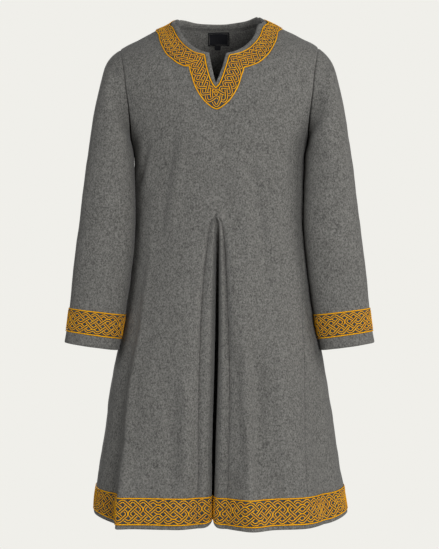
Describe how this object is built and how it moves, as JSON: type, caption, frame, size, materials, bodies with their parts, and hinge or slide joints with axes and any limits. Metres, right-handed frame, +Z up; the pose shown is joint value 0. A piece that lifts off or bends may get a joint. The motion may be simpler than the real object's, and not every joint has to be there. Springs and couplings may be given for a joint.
{
  "type": "tunic",
  "caption": "Long-sleeved knee-length wool tunic of old northern cut, with a slit round neck, side gores, a folded front godet, and interlace bands at neck, cuffs and hem.",
  "frame": {"origin": "middle of the neck at the height where the shoulder seams start, where the tunic hangs on the shoulders", "axes": "+Z up along the garment's length; the front faces -Y; +X is on the right when the front is faced"},
  "size_m": [0.608, 0.3869, 0.9926],
  "materials": {
    "wool": "brushed wool cloth in mottled mid grey, matt",
    "gold_trim": "gold-orange thread interlace worked on grey wool",
    "label": "black woven ribbon, plain"
  },
  "bodies": {
    "root": {"front_panel": "wool", "back_panel": "wool", "front_godet": "wool", "side_gore_left": "wool", "side_gore_right": "wool", "sleeve_left": "wool", "sleeve_right": "wool", "neck_binding": "wool", "cuff_trim_left": "gold_trim", "cuff_trim_right": "gold_trim", "neck_trim_front": "gold_trim", "neck_trim_back": "gold_trim", "hem_trim": "gold_trim", "neck_label": "label", "size_tab": "label"}
  },
  "joints": []
}
